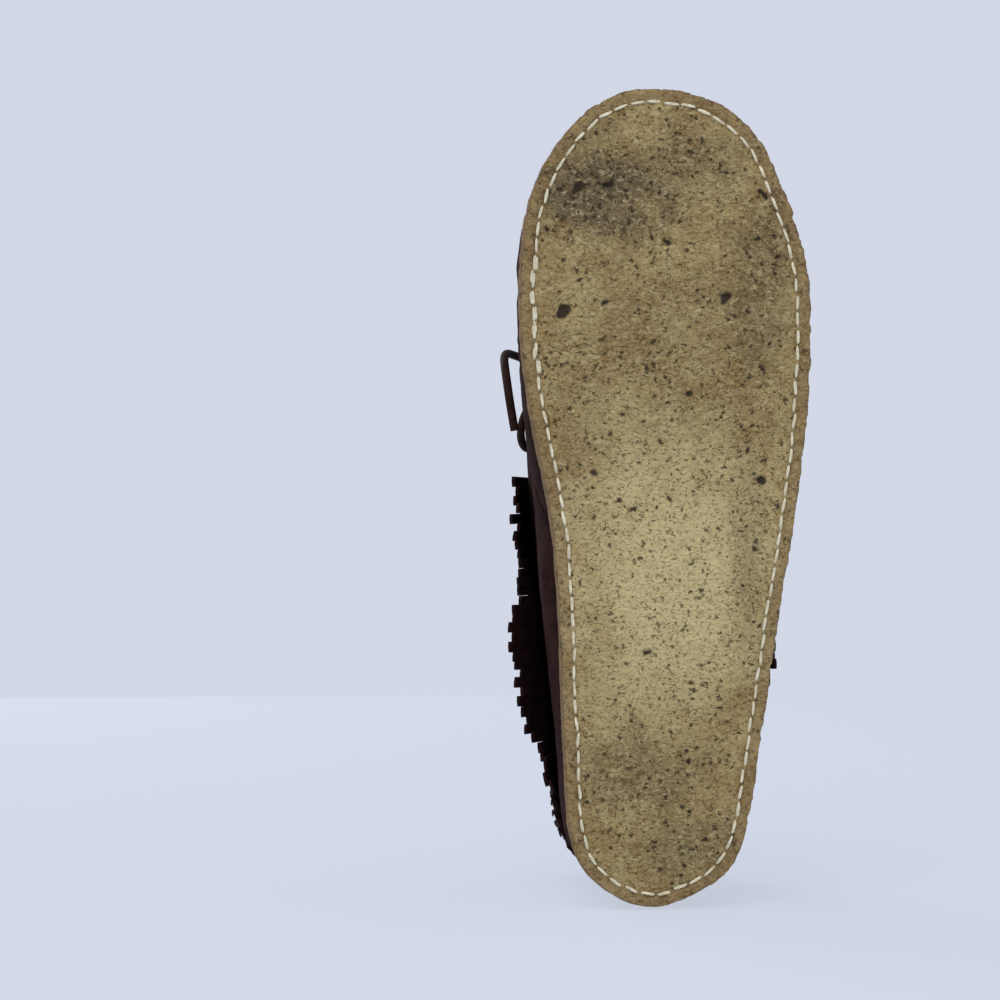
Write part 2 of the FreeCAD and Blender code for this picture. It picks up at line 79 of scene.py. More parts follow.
# %% Mesh tools
def merged(node):
    """A bmesh copy of a CAD node with its doubled vertices joined."""
    bm = bmesh.new()
    bm.from_mesh(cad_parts[node].data)
    bmesh.ops.remove_doubles(bm, verts=bm.verts, dist=0.01 * MM)
    return bm


def cut_off(bm, spot, normal):
    """Removes what lies past a plane through a spot, and returns the parts along the cut."""
    everything = bm.verts[:] + bm.edges[:] + bm.faces[:]
    return bmesh.ops.bisect_plane(
        bm, geom=everything, plane_co=spot, plane_no=normal, clear_outer=True
    )["geom_cut"]


def only(parts, kind):
    """The parts of one bmesh kind, such as the edges among mixed parts."""
    return [part for part in parts if isinstance(part, kind)]


def spin_ring(bm, ring, axis, steps, matrix):
    """Spins a ring of vertices right round an axis into a tube, and moves it into place."""
    before = set(bm.verts) - set(ring)
    edges = list({edge for vert in ring for edge in vert.link_edges})
    bmesh.ops.spin(
        bm,
        geom=ring + edges,
        cent=(0, 0, 0),
        axis=axis,
        angle=2 * math.pi,
        steps=steps,
        use_merge=True,
    )
    fresh = [vert for vert in bm.verts if vert not in before]
    bmesh.ops.transform(bm, matrix=matrix, verts=fresh)


def closed_up(bm):
    """Joins the doubled vertices that spinning leaves and turns all faces outward."""
    bmesh.ops.remove_doubles(bm, verts=bm.verts, dist=0.005 * MM)
    bmesh.ops.recalc_face_normals(bm, faces=bm.faces)


def to_mesh(bm, name):
    mesh = bpy.data.meshes.new(name)
    bm.to_mesh(mesh)
    bm.free()
    return mesh


def remeshed(bm, voxel, smoothing=2):
    """The closed solids in bm as one even skin of squares of about the voxel's size."""
    holder = bpy.data.objects.new("holder", to_mesh(bm, "holder"))
    scene.collection.objects.link(holder)
    step = holder.modifiers.new("Even", "REMESH")
    step.mode = "VOXEL"
    step.voxel_size = voxel
    depsgraph = bpy.context.evaluated_depsgraph_get()
    mesh = bpy.data.meshes.new_from_object(holder.evaluated_get(depsgraph))
    old = holder.data
    bpy.data.objects.remove(holder)
    bpy.data.meshes.remove(old)
    skin = bmesh.new()
    skin.from_mesh(mesh)
    bpy.data.meshes.remove(mesh)
    for _ in range(smoothing):
        bmesh.ops.smooth_vert(
            skin, verts=skin.verts, factor=0.5, use_axis_x=True, use_axis_y=True, use_axis_z=True
        )
    skin.normal_update()
    return skin


def place(name, mesh, finish, stands_for=(), body="shoe", slot=None, smooth=True):
    """Shows a finished mesh as a named piece that rides a body and stands for CAD nodes."""
    piece = bpy.data.objects.new(name, mesh)
    scene.collection.objects.link(piece)
    mesh.materials.clear()
    mesh.materials.append(finish)
    if smooth:
        mesh.shade_smooth()
    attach(piece, body)
    if stands_for:
        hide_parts(*stands_for)
    print(name, len(mesh.polygons), "faces")
    return piece


def islands(bm):
    """The separate solids in a bmesh, each as a list of vertex places."""
    seen, found = set(), []
    for start in bm.verts:
        if start in seen:
            continue
        seen.add(start)
        stack, group = [start], []
        while stack:
            vert = stack.pop()
            group.append(vert.co.copy())
            for edge in vert.link_edges:
                other = edge.other_vert(vert)
                if other not in seen:
                    seen.add(other)
                    stack.append(other)
        found.append(group)
    return found


def grain(point, size, seed=0.0):
    """Smooth noise from about -1 to 1 whose lumps are about this size across."""
    shift = Vector((seed * 3.1, seed * 1.7, seed * 2.3))
    return noise.noise(Vector(point) / size + shift)


def smoothstep(low, high, value):
    share = min(1.0, max(0.0, (value - low) / (high - low)))
    return share * share * (3.0 - 2.0 * share)


def tree_of(places):
    tree = KDTree(len(places))
    for index, spot in enumerate(places):
        tree.insert(spot, index)
    tree.balance()
    return tree


def paint_vertices(mesh, name, values):
    mesh.attributes.new(name, "FLOAT", "POINT").data.foreach_set("value", values)


# %% [markdown]
# ## Shader tools
# `Wire` wraps one shader socket, so shader maths is written as plain sums and products.
# `Paint` holds one material and adds nodes to it with a single method.


# %% Shader classes
class Wire:
    def __init__(self, paint, socket):
        self.paint = paint
        self.socket = socket

    def maths(self, operation, first, second=0.0):
        return self.paint.add(
            "ShaderNodeMath", {"operation": operation}, {0: first, 1: second}
        )

    def __add__(self, other):
        return self.maths("ADD", self, other)

    def __sub__(self, other):
        return self.maths("SUBTRACT", self, other)

    def __mul__(self, other):
        return self.maths("MULTIPLY", self, other)

    def __rsub__(self, other):
        return self.maths("SUBTRACT", other, self)

    __radd__ = __add__
    __rmul__ = __mul__

    def clamp(self):
        return self.paint.add("ShaderNodeClamp", {}, {0: self})

    def between(self, low, high):
        """0 below low, 1 above high and a smooth rise from one to the other."""
        return self.paint.add(
            "ShaderNodeMapRange",
            {"interpolation_type": "SMOOTHSTEP"},
            {"Value": self, "From Min": low, "From Max": high},
        )


class Paint:
    def __init__(self, name, **constants):
        self.material = bpy.data.materials.new(name)
        self.material.use_nodes = True
        self.tree = self.material.node_tree
        self.shader = self.tree.nodes["Principled BSDF"]
        for key, value in constants.items():
            self.shader.inputs[key.replace("_", " ")].default_value = value
        self.place = self.add("ShaderNodeTexCoord", {}, {}, "Object")

    def add(self, kind, settings, values, out=0):
        node = self.tree.nodes.new(kind)
        for key, value in settings.items():
            setattr(node, key, value)
        for key, value in values.items():
            if isinstance(value, Wire):
                self.tree.links.new(value.socket, node.inputs[key])
            else:
                node.inputs[key].default_value = value
        return Wire(self, node.outputs[out])

    def stretched(self, x=1.0, y=1.0, z=1.0):
        """The piece's own place with each axis multiplied, for noise drawn out one way."""
        return self.add(
            "ShaderNodeVectorMath", {"operation": "MULTIPLY"}, {0: self.place, 1: (x, y, z)}
        )

    def noise(self, size, detail=3.0, roughness=0.55, distortion=0.0, place=None):
        """Noise from 0 to 1 with lumps of this size in metres."""
        values = {
            "Vector": place or self.place,
            "Scale": 1.0 / size,
            "Detail": detail,
            "Roughness": roughness,
            "Distortion": distortion,
        }
        return self.add("ShaderNodeTexNoise", {}, values)

    def spots(self, size, place=None):
        """Distance to the nearest of many scattered points, as a share of this size."""
        values = {"Vector": place or self.place, "Scale": 1.0 / size}
        return self.add("ShaderNodeTexVoronoi", {}, values, "Distance")

    def warped(self, size, amount):
        """The piece's own place pushed about by noise, so that round spots turn ragged."""
        values = {"Scale": 1.0 / size, "Vector": self.place}
        push = self.add("ShaderNodeTexNoise", {}, values, "Color")
        centred = self.add(
            "ShaderNodeVectorMath", {"operation": "SUBTRACT"}, {0: push, 1: (0.5, 0.5, 0.5)}
        )
        settings = {"operation": "MULTIPLY_ADD"}
        values = {0: centred, 1: (amount, amount, amount), 2: self.place}
        return self.add("ShaderNodeVectorMath", settings, values)

    def attribute(self, name):
        return self.add("ShaderNodeAttribute", {"attribute_name": name}, {}, "Fac")

    def mix(self, share, first, second):
        settings = {"data_type": "RGBA", "clamp_factor": True}
        values = {0: share, 6: opaque(first), 7: opaque(second)}
        return self.add("ShaderNodeMix", settings, values, 2)

    def finish(self, colour, roughness, bump, depth):
        """Links the colour, roughness and a bump of this depth in metres to the shader."""
        normal = self.add("ShaderNodeBump", {}, {"Height": bump, "Distance": depth})
        for key, value in (("Base Color", colour), ("Roughness", roughness), ("Normal", normal)):
            self.tree.links.new(value.socket, self.shader.inputs[key])
        return self.material


def opaque(colour):
    return colour if isinstance(colour, Wire) else (*colour, 1.0)


# %% [markdown]
# ## Finishes
# Worn crepe rubber is translucent tan with a torn, fibrous skin: its pits are darker than the rest,
# the ball and the heel are grey from wear, and the arch keeps the pale colour of new crepe.
# The outsole's mesh carries `pit`, `soil`, `pale` and `rim`, so colour follows its shape.


# %% Crepe
def crepe_finish():
    paint = Paint("Crepe", Specular_IOR_Level=0.15)
    fibres = paint.stretched(0.62, 1.0, 1.0)
    torn = paint.warped(1.1 * MM, 2.4 * MM)
    clouds = paint.noise(24 * MM, 4.0, 0.6, 0.6)
    blotches = paint.noise(6 * MM, 4.0, 0.65, 0.8)
    strands = paint.noise(1.9 * MM, 6.0, 0.75, 1.6, fibres)
    fine = paint.noise(0.8 * MM, 4.0, 0.75, 0.8, fibres)
    clusters = paint.noise(7 * MM, 3.0, 0.6)
    soil = (paint.attribute("soil") * (0.5 + blotches * 0.8)).clamp()
    base = paint.mix(clouds.between(0.3, 0.7), (0.345, 0.232, 0.090), (0.50, 0.380, 0.170))
    base = paint.mix(blotches.between(0.48, 0.70) * 0.7, base, (0.32, 0.178, 0.056))
    base = paint.mix(paint.attribute("pale"), base, (0.74, 0.61, 0.30))
    base = paint.mix(soil, base, (0.135, 0.098, 0.050))
    # Where the strand and fine noise rise, as the bump does, the colour is lighter, and where they
    # sink it is darker. This is partly the crepe's own fibrous grain and partly painted highlights
    # on the ridges and painted shade in the hollows. The brightest fine flecks are painted
    # highlights.
    base = paint.mix(strands.between(0.48, 0.66) * 0.62, base, (0.66, 0.55, 0.29))
    base = paint.mix(strands.between(0.47, 0.30) * 0.78, base, (0.105, 0.068, 0.027))
    base = paint.mix(fine.between(0.48, 0.36) * 0.82, base, (0.072, 0.048, 0.022))
    base = paint.mix(fine.between(0.58, 0.70) * 0.55, base, (0.74, 0.64, 0.38))
    # Scattered specks of two sizes are darker and sink in the bump, more of them where the sole is
    # dirty.
    specks = paint.spots(2.6 * MM, place=torn).between(0.30, 0.13)
    specks = specks * (clusters + soil * 0.14).between(0.45, 0.57)
    small_specks = paint.spots(1.2 * MM, place=torn).between(0.30, 0.14)
    small_specks = small_specks * (blotches + soil * 0.12).between(0.48, 0.60)
    base = paint.mix((specks * 0.85 + small_specks * 0.75).clamp(), base, (0.046, 0.030, 0.015))
    rim = paint.mix(blotches.between(0.35, 0.65), (0.31, 0.175, 0.072), (0.20, 0.130, 0.062))
    # On the rim the light fine flecks are partly painted highlights and the dark strands partly
    # painted shade, over the rim's own grain.
    rim = paint.mix(fine.between(0.50, 0.66) * 0.6, rim, (0.42, 0.32, 0.17))
    rim = paint.mix(strands.between(0.48, 0.34) * 0.85, rim, (0.045, 0.028, 0.014))
    base = paint.mix(paint.attribute("rim"), base, rim)
    # Pits are darker, and their ragged bottoms darkest.
    hollow = paint.attribute("pit")
    base = paint.mix((hollow * 0.7).clamp(), base, (0.135, 0.088, 0.040))
    ragged = (hollow + fine * 0.8 + strands * 0.7).between(1.02, 1.36)
    base = paint.mix(ragged * 0.92, base, (0.036, 0.028, 0.019))
    height = strands * 0.9 + fine * 0.6 - specks * 0.9 - small_specks * 0.4
    return paint.finish(base, 0.6 + fine * 0.35, height, 1.2 * MM)


# %% [markdown]
# Suede is the napped flesh side of leather: very matt, with a faint sheen where the fibres
# catch light from the side, and with lighter and darker strokes where the nap lies two ways.


# %% Suede, lining and leather
SUEDE_NAP = 0.4 * MM
LINING_NAP = 0.3 * MM
WAVES_PER_METRE = 420.0


def suede_finish(name, dark, light, nap=SUEDE_NAP):
    paint = Paint(
        name,
        Specular_IOR_Level=0.04,
        Sheen_Weight=0.02,
        Sheen_Roughness=0.5,
        Sheen_Tint=(0.30, 0.15, 0.13, 1.0),
    )
    strokes = paint.noise(11 * MM, 4.0, 0.6, 1.0)
    cloud = paint.noise(2.6 * MM, 4.0, 0.65, 0.4)
    fibre = paint.noise(nap, 4.0, 0.75)
    share = strokes * 0.55 + cloud * 0.3 + fibre * 0.35
    base = paint.mix(share.between(0.4, 0.85), dark, light)
    base = paint.mix(paint.attribute("strip") * 0.35, base, dark)
    return paint.finish(base, 0.82 + fibre * 0.18, fibre + cloud * 0.7, 0.30 * MM)


def leather_finish(name, dark, light, matt):
    paint = Paint(name, Specular_IOR_Level=0.08)
    wrinkles = paint.noise(1.7 * MM, 4.0, 0.6, 0.8)
    pores = paint.spots(0.55 * MM)
    wear = paint.noise(9 * MM, 3.0)
    base = paint.mix((wrinkles * 0.5 + wear * 0.6).between(0.35, 0.75), dark, light)
    rough = matt + wear * 0.25
    return paint.finish(base, rough, wrinkles + pores * 0.4, 0.18 * MM)


def thread_finish(name, dark, light):
    """Twisted thread: fine slanted ridges, a little dirt, and painted shade in the grooves between
    the ridges.
    """
    paint = Paint(name, Specular_IOR_Level=0.3)
    values = {"Scale": WAVES_PER_METRE, "Distortion": 1.5}
    slant = paint.add("ShaderNodeTexWave", {"bands_direction": "DIAGONAL"}, values)
    dirt = paint.noise(3 * MM, 4.0, 0.7)
    base = paint.mix(dirt.between(0.45, 0.75), light, dark)
    # The low parts of the twist's wave are darkened: painted shade in the grooves.
    base = paint.mix((1.0 - slant) * 0.25, base, dark)
    return paint.finish(base, 0.7 + dirt * 0.2, slant, 0.06 * MM)


def board_finish():
    """Pressed leather board: brown layers with a fibrous cut edge."""
    paint = Paint("Leather.board", Specular_IOR_Level=0.2)
    layers = paint.noise(0.5 * MM, 4.0, 0.7, 0.3, paint.stretched(0.15, 0.15, 1.0))
    cloud = paint.noise(9 * MM, 3.0)
    base = paint.mix(layers.between(0.3, 0.7), (0.055, 0.030, 0.018), (0.115, 0.066, 0.038))
    base = paint.mix(cloud.between(0.5, 0.8) * 0.5, base, (0.045, 0.026, 0.017))
    return paint.finish(base, 0.75 + layers * 0.15, layers, 0.15 * MM)


def footbed_finish():
    """The insole's leather top, polished dark under the heel and the ball by the foot."""
    paint = Paint("Footbed.leather", Specular_IOR_Level=0.35)
    pores = paint.spots(0.9 * MM)
    cloud = paint.noise(8 * MM, 4.0, 0.6)
    base = paint.mix(cloud.between(0.3, 0.7), (0.23, 0.125, 0.06), (0.33, 0.19, 0.095))
    base = paint.mix(paint.attribute("tread") * 0.8, base, (0.085, 0.045, 0.025))
    base = paint.mix(pores.between(0.3, 0.12) * 0.5, base, (0.10, 0.055, 0.03))
    return paint.finish(base, 0.5 + cloud * 0.2, cloud * 0.5 + pores * 0.6, 0.15 * MM)


def brass_finish():
    """Antique brass: bright and brown in a fine random mottle of tarnish."""
    paint = Paint("Antique.brass", Metallic=1.0)
    tarnish = paint.noise(1.2 * MM, 4.0, 0.7)
    base = paint.mix(tarnish.between(0.35, 0.65), (0.36, 0.22, 0.10), (0.13, 0.08, 0.045))
    return paint.finish(base, 0.28 + tarnish * 0.3, tarnish, 0.05 * MM)


crepe = crepe_finish()
suede = suede_finish("Suede", (0.0105, 0.0036, 0.0036), (0.043, 0.0170, 0.0150))
# The fringe takes a darker copy of the upper's suede: the darkening is painted shade.
shaded_fringe_suede = suede_finish("Fringe.suede.shaded", (0.0085, 0.0031, 0.0032), (0.036, 0.0150, 0.0132))
lining = suede_finish("Lining", (0.105, 0.055, 0.032), (0.21, 0.125, 0.075), LINING_NAP)
lace_leather = leather_finish("Lace.leather", (0.012, 0.0050, 0.0040), (0.040, 0.0175, 0.0125), 0.6)
thread = thread_finish("Sole.thread", (0.74, 0.62, 0.38), (0.98, 0.92, 0.68))
dark_thread = thread_finish("Upper.thread", (0.028, 0.014, 0.010), (0.085, 0.045, 0.030))
board = board_finish()
footbed_leather = footbed_finish()
brass = brass_finish()
print("finishes:", [m.name for m in bpy.data.materials][:12])

# %% [markdown]
# ## The crepe outsole
# Crepe is cut from a sheet, so a slab is drawn down from the frame's own outline.
# It is then worn in code: torn pits where the foot presses, a nicked and crinkled rim that is
# rougher at the toe, and the groove that the sole's stitches have pressed into it.

# %% Outsole slab
SLAB_SEAM = 4.0 * MM
OUTSOLE_VOXEL = 0.72 * MM
GROOVE_INSET = 4.1 * MM
OUTLINE_GAP = 0.8 * MM


def outsole_slab():
    """The outsole without its stitch holes, and the places round its outline."""
    bm = merged("crepe_outsole")
    cut = cut_off(bm, (0, 0, SLAB_SEAM), DOWN)
    outline = [vert.co.copy() for vert in only(cut, bmesh.types.BMVert)]
    ring = only(cut, bmesh.types.BMEdge)
    grown = bmesh.ops.extrude_edge_only(bm, edges=ring)["geom"]
    for vert in only(grown, bmesh.types.BMVert):
        vert.co.z = 0.0
    bmesh.ops.edgeloop_fill(bm, edges=only(grown, bmesh.types.BMEdge))
    bmesh.ops.recalc_face_normals(bm, faces=bm.faces)
    outline.sort(key=lambda spot: math.atan2(spot.y, spot.x))
    return bm, [Vector((spot.x, spot.y, 0.0)) for spot in outline]


def dense_ring(places):
    """Places at most OUTLINE_GAP apart along the closed line through these places."""
    line = []
    for start, end in zip(places, places[1:] + places[:1]):
        count = max(1, math.ceil((end - start).length / OUTLINE_GAP))
        line += [start.lerp(end, k / count) for k in range(count)]
    return line


slab, outline = outsole_slab()
outline = dense_ring(outline)
outline_tree = tree_of(outline)
print("outline:", len(outline), "places")

# %% [markdown]
# Wear is set out in soft ovals: across and along the sole, their half widths and their depth
# of colour, in millimetres. They follow how a foot presses: big toe, ball, outer edge and heel.

# %% Wear and pits
SOILED = (
    (-22, -98, 26, 20, 1.0),
    (8, -108, 22, 14, 0.55),
    (30, -70, 14, 40, 0.55),
    (-2, -52, 34, 26, 0.20),
    (12, -28, 30, 16, 0.16),
    (-26, -30, 12, 26, 0.18),
    (-8, 88, 22, 17, 0.50),
    (8, 112, 24, 12, 0.55),
    (26, 20, 7, 40, 0.30),
)
PALE = (
    (2, 24, 40, 52, 0.9),
    (-6, 62, 26, 22, 0.45),
    (-12, -20, 22, 22, 0.35),
)
PIT_SIZE = 6.5 * MM
SMALL_PIT_SIZE = 3.4 * MM
PIT_DEPTH = 0.95
SMALL_PIT_DEPTH = 0.5
GROOVE_DEPTH = 0.55
GROOVE_SPREAD = 1.0 * MM
BIG_TOE_Y = -110 * MM
WAIST_Y = 20 * MM


def ovals(spot, patches, ragged=0.45):
    """How strongly a place lies in these soft ovals, with a ragged edge, from 0 to 1."""
    wobble = ragged * (grain(spot, 12 * MM, 4.0) + 0.5 * grain(spot, 4.5 * MM, 5.0))
    total = 0.0
    for x, y, wide, long, depth in patches:
        across = (spot.x / MM - x) / wide
        along = (spot.y / MM - y) / long
        total = max(total, depth * smoothstep(1.25, 0.25, math.hypot(across, along) + wobble))
    return total


def pit(spot, size, share, seed):
    """How deep a place is in a torn pit of this size, from 0 to 1."""
    warp = Vector((grain(spot, size * 0.7, seed), grain(spot, size * 0.7, seed + 2.0), 0.0))
    flat = Vector((spot.x * 0.8, spot.y, 0.0)) / size + warp * 0.38
    distances, points = noise.voronoi(flat + Vector((seed, seed, seed)))
    chance = noise.cell_vector(points[0] * 7.3)
    if chance.x > share:
        return 0.0
    radius = 0.16 + 0.26 * chance.y
    return smoothstep(radius, radius * 0.35, distances[0])


def wear_outsole(bm):
    """Moves the slab's skin as wear and cutting do, and returns what its colours need."""
    found = {"pit": [], "soil": [], "pale": [], "rim": []}
    moves = []
    for vert in bm.verts:
        spot = Vector((vert.co.x, vert.co.y, 0.0))
        edge = outline_tree.find(spot)[2]
        below = smoothstep(-0.3, -0.8, vert.normal.z)
        side = smoothstep(0.8, 0.3, abs(vert.normal.z))
        soil = ovals(spot, SOILED)
        pale = ovals(spot, PALE, 0.3) * (1.0 - 0.6 * soil)
        toe = smoothstep(WAIST_Y, BIG_TOE_Y, spot.y)
        inner = smoothstep(3.0 * MM, 6.0 * MM, edge)
        torn = pit(spot, PIT_SIZE, 0.025 + 0.42 * soil * soil + 0.12 * toe, 1.0)
        small = pit(spot, SMALL_PIT_SIZE, 0.22 + 0.22 * soil + 0.10 * toe, 9.0)
        hollow = below * inner * max(torn, 0.75 * small)
        groove = below * math.exp(-(((edge - GROOVE_INSET) / GROOVE_SPREAD) ** 2))
        fibres = grain(Vector((spot.x * 0.6, spot.y, 0)), 2.4 * MM, 3.0)
        lumps = 0.22 * grain(spot, 8 * MM) + 0.20 * fibres
        dents = PIT_DEPTH * torn * inner + SMALL_PIT_DEPTH * small * inner
        depth = below * (lumps - dents - GROOVE_DEPTH * groove)
        rough = 0.45 + 0.75 * toe + 0.45 * smoothstep(0.0, 35 * MM, vert.co.x)
        nicks = max(0.0, grain(vert.co, 3.4 * MM, 6.0)) + 0.7 * abs(grain(vert.co, 1.9 * MM, 7.0))
        crinkle = grain(vert.co, 5.5 * MM, 8.0) * 0.7 - nicks + 0.65
        brim = max(side, smoothstep(2.2 * MM, 0.4 * MM, edge))
        outward = Vector((vert.normal.x, vert.normal.y, 0.0))
        moves.append(
            vert.normal * depth * MM
            + outward * (0.62 * crinkle * rough * side * MM)
            - DOWN * (0.5 * max(0.0, -crinkle) * rough * brim * below * MM)
        )
        found["pit"].append(min(1.0, 0.9 * hollow + 0.55 * side * smoothstep(0.35, 0.9, nicks)))
        found["soil"].append(min(1.0, soil * (0.75 + 0.25 * below)))
        found["pale"].append(pale * below)
        found["rim"].append(max(0.95 * side, 0.45 * smoothstep(4.6 * MM, 3.4 * MM, edge)))
    for vert, move in zip(bm.verts, moves):
        vert.co += move
    return found


slab = remeshed(slab, OUTSOLE_VOXEL, 1)
sole_facts = wear_outsole(slab)
sole_mesh = to_mesh(slab, "outsole")
for key, values in sole_facts.items():
    paint_vertices(sole_mesh, key, values)
place("outsole_crepe", sole_mesh, crepe, ["crepe_outsole"], slot="crepe")

# %% [markdown]
# ## Stitches
# Each stitch is one rounded length of thread that sinks at both ends into its holes.
# Places and lengths come from the frame's own stitches; each one then varies a little.


# %% Stitches
def stitch_facts(node):
    """The middle, direction and length of each separate stitch in a CAD node."""
    bm = merged(node)
    facts = []
    for group in islands(bm):
        middle = sum(group, Vector()) / len(group)
        far_one = max(group, key=lambda spot: (spot - middle).length)
        far_two = max(group, key=lambda spot: (spot - far_one).length)
        along = far_two - far_one
        facts.append((middle, along.normalized(), along.length))
    bm.free()
    return facts


def add_stitch(bm, middle, along, length, radius, out, sink):
    """One rounded thread whose ends dip by sink against the outward direction."""
    across = along.cross(out).normalized()
    ball = bmesh.ops.create_uvsphere(bm, u_segments=8, v_segments=6, radius=1.0)["verts"]
    for vert in ball:
        share = vert.co.z
        girth = radius * (1.0 - 0.25 * share**4)
        vert.co = (
            middle
            + along * (math.copysign(abs(share) ** 0.6, share) * length / 2)
            + across * vert.co.x * girth
            + out * (vert.co.y * girth - sink * abs(share) ** 5)
        )


def stitch_row(name, node, radius, finish, slot, outward, slant, length_share, lift, doubled=None):
    """A row of thread stitches that stands for a CAD row. Slant is in radians, and doubled
    says where a second thread lies beside the first."""
    bm = bmesh.new()
    for middle, along, length in stitch_facts(node):
        out = outward(middle)
        turn = Matrix.Rotation(random.uniform(-slant, slant), 3, out)
        size = length * length_share * random.uniform(0.93, 1.05)
        girth = radius * random.uniform(0.9, 1.08)
        spot = middle + out * lift + along.cross(out) * random.uniform(-0.25, 0.25) * MM
        add_stitch(bm, spot, (turn @ along).normalized(), size, girth, out, radius * 0.9)
        if doubled and doubled(middle):
            aside = along.cross(out).normalized() * random.choice((-1, 1)) * radius * 1.1
            shifted = spot + aside + along * random.uniform(-1.6, 1.6) * MM
            add_stitch(bm, shifted, (turn @ along).normalized(), size * 0.9, girth, out, radius)
    bmesh.ops.recalc_face_normals(bm, faces=bm.faces)
    return place(name, to_mesh(bm, name), finish, [node], slot=slot)


BACKSTITCH_FROM = -78 * MM
BACKSTITCH_TO = -38 * MM


def backstitched(middle):
    """Where the row was closed by sewing over its first stitches again."""
    return middle.x < 0.0 and BACKSTITCH_FROM < middle.y < BACKSTITCH_TO


stitch_row(
    "sole_stitches",
    "outsole_stitches",
    radius=0.53 * MM,
    finish=thread,
    slot="thread",
    outward=lambda middle: DOWN,
    slant=0.09,
    length_share=1.24,
    lift=0.66 * MM,
    doubled=backstitched,
)

# %% [markdown]
# ## The suede upper
# All the upper's pieces share one field of movement, so layers that lie on each other stay
# apart when they crease. The field pushes outward from a spine that runs along the foot.
# A worn moccasin creases across the vamp where the toes bend, and sags softly at the ankle.

# %% The field that moves the upper
SPINE_FRONT = -82 * MM
SPINE_BACK = 84 * MM
SPINE_RISE = 36 * MM
APRON_MIDDLE_Y = -40 * MM
TOE_BEND_Y = -52 * MM
SEAM_SHARE = 0.55
seam_spots = [middle for middle, _, _ in stitch_facts("apron_stitches")]
seam_spots.sort(key=lambda spot: math.atan2(spot.x, -(spot.y - APRON_MIDDLE_Y)))
seam_tree = tree_of(seam_spots)


def outward_of(spot):
    """The direction away from the foot's spine at a place."""
    along = min(SPINE_BACK, max(SPINE_FRONT, spot.y))
    return (Vector(spot) - Vector((0.0, along, SPINE_RISE))).normalized()


def seam_place(spot):
    """Distance to the apron's seam, and how far along it in stitches."""
    near, index, gap = seam_tree.find(spot)
    step = seam_spots[min(index + 1, len(seam_spots) - 1)] - seam_spots[max(index - 1, 0)]
    if step.length < 1e-6:
        return gap, float(index)
    away = Vector(spot) - near
    share = away.dot(step.normalized()) / (step.length / 2)
    return (away - step.normalized() * share * step.length / 2).length, index + share


def relief(spot):
    """How far the suede stands out at a place, in metres."""
    seated = smoothstep(10 * MM, 20 * MM, spot.z)
    soft = 0.75 * grain(spot, 24 * MM, 1.0) + 0.30 * grain(spot, 8 * MM, 2.0)
    bend = math.exp(-(((spot.y - TOE_BEND_Y) / (22 * MM)) ** 2))
    folds = grain(Vector((spot.x * 0.35, spot.y, spot.z * 0.5)), 7.5 * MM, 5.0)
    ankle = smoothstep(20 * MM, 90 * MM, spot.y) * smoothstep(30 * MM, 60 * MM, spot.z)
    slump = grain(Vector((spot.x * 0.4, spot.y * 0.4, spot.z)), 9 * MM, 8.0)
    return seated * MM * (soft - 1.5 * bend * abs(folds) + 0.6 * ankle * slump)


def puckers(spot):
    """The gathers that the apron's seam pulls into the leather below it."""
    gap, count = seam_place(spot)
    reach = math.exp(-((gap / (7.5 * MM)) ** 2))
    ridge = math.exp(-((gap / (2.0 * MM)) ** 2))
    return MM * (0.75 * reach * math.cos(2 * math.pi * (count + 0.5)) + 1.1 * ridge)


def dress(name, node, voxel, finish, slot, extra=None, body="shoe", amount=1.0, also=None, trim=0.0):
    """A remeshed copy of a CAD node, moved by the shared field and shown in its place.
    A second node can be sewn into the same skin, and a feathered top can be trimmed square."""
    bm = merged(node)
    if also:
        bm.from_mesh(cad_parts[also].data)
        bmesh.ops.remove_doubles(bm, verts=bm.verts, dist=0.01 * MM)
    if trim:
        cut = cut_off(bm, (0, 0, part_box(node)[1].z - trim), UP)
        bmesh.ops.holes_fill(bm, edges=only(cut, bmesh.types.BMEdge))
    bm = remeshed(bm, voxel)
    for vert in bm.verts:
        push = amount * relief(vert.co)
        if extra:
            push += extra(vert.co)
        vert.co += outward_of(vert.co) * push
    stands_for = [node, also] if also else [node]
    place(name, to_mesh(bm, name), finish, stands_for, body, slot)


def half_puckers(spot):
    """The apron is gathered less than the vamp that is drawn in to it."""
    return SEAM_SHARE * puckers(spot)


dress("vamp_suede", "wrap_vamp", 0.95 * MM, suede, "suede", puckers)
dress("apron_suede", "apron", 0.75 * MM, suede, "suede", half_puckers)
dress("quarter_medial_suede", "quarter_medial", 0.9 * MM, suede, "suede")
dress("quarter_lateral_suede", "quarter_lateral", 0.9 * MM, suede, "suede")
dress("heel_strip_suede", "heel_strip", 0.6 * MM, suede, "suede")
dress("collar_band_suede", "collar_band", 0.7 * MM, suede, "suede")
dress("heel_lining_leather", "heel_lining", 0.9 * MM, lining, "lining", also="heel_counter")
dress("tongue_suede", "tongue", 0.7 * MM, suede, "suede", body="tongue", amount=0.5, trim=7.0 * MM)

# %% [markdown]
# The seams are sewn after the leather is creased, so their stitches move with it.

# %% Seam stitches on the upper
for row_name, row_node, girth, extra in (
    ("apron_seam_stitches", "apron_stitches", 0.55 * MM, half_puckers),
    ("collar_seam_stitches", "collar_stitches", 0.38 * MM, None),
):
    row = stitch_row(
        row_name,
        row_node,
        radius=girth,
        finish=dark_thread,
        slot="dark_thread",
        outward=outward_of,
        slant=0.08,
        length_share=1.0,
        lift=0.1 * MM,
    )
    for vert in row.data.vertices:
        push = relief(vert.co) + (extra(vert.co) if extra else 0.0)
        vert.co += outward_of(vert.co) * push

# %% [markdown]
# ## The fringe
# A fringe is a strip of suede slit into narrow tongues with shears. Each tongue is its own
# little strip here: it starts under the collar band, follows the frame's skirt down and then
# curls, sways and ends a little differently from its neighbours.

